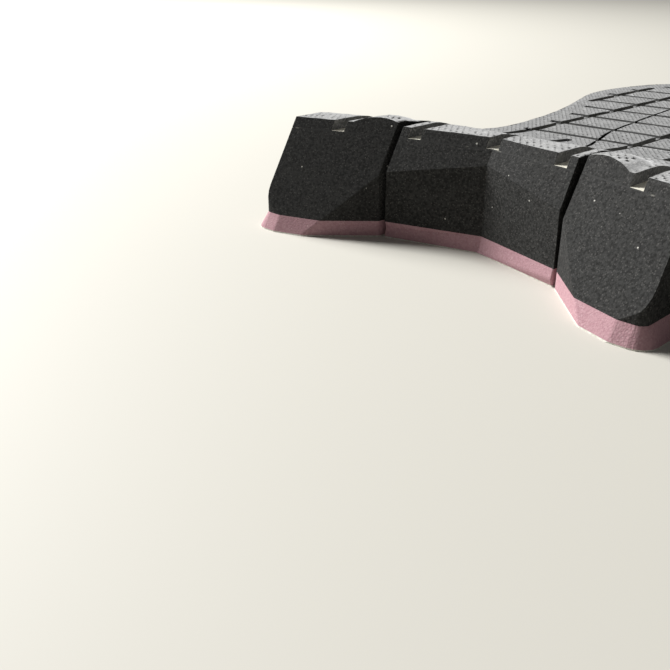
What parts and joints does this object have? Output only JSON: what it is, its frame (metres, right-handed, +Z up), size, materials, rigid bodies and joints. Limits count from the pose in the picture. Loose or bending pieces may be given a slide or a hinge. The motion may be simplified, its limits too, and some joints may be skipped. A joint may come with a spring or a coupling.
{
  "type": "surfboard tail traction pad",
  "caption": "Foam deck traction pad in side-by-side pieces, with a tall faceted rear kick, a grooved textured tread, a contrasting base layer and an adhesive underside.",
  "frame": {"origin": "on the deck plane, at the centre of the pad's footprint, which is the middle of the centre piece's underside", "axes": "+X to the right of the board looking to its nose, +Y forward from the kick to the front edge, +Z up from the deck"},
  "size_m": [0.2148, 0.3322, 0.0317],
  "materials": {
    "adhesive": "translucent pressure-sensitive adhesive film, liner removed",
    "base_foam": "dusty pink closed-cell EVA foam, cut edge, matte",
    "kick_foam": "charcoal closed-cell EVA foam, sanded facets with pale specks",
    "bond_film": "thin cream EVA layer, seen in the groove floors",
    "tread_foam": "charcoal EVA foam, embossed top with worn pale high points"
  },
  "bodies": {
    "root": {"left_adhesive_sheet": "adhesive", "centre_adhesive_sheet": "adhesive", "right_adhesive_sheet": "adhesive", "left_base_sheet": "base_foam", "centre_base_sheet": "base_foam", "right_base_sheet": "base_foam", "left_kick_wedge": "kick_foam", "centre_kick_wedge": "kick_foam", "right_kick_wedge": "kick_foam", "left_bond_film": "bond_film", "centre_bond_film": "bond_film", "right_bond_film": "bond_film", "left_tread_sheet": "tread_foam", "centre_tread_sheet": "tread_foam", "right_tread_sheet": "tread_foam"}
  },
  "joints": []
}
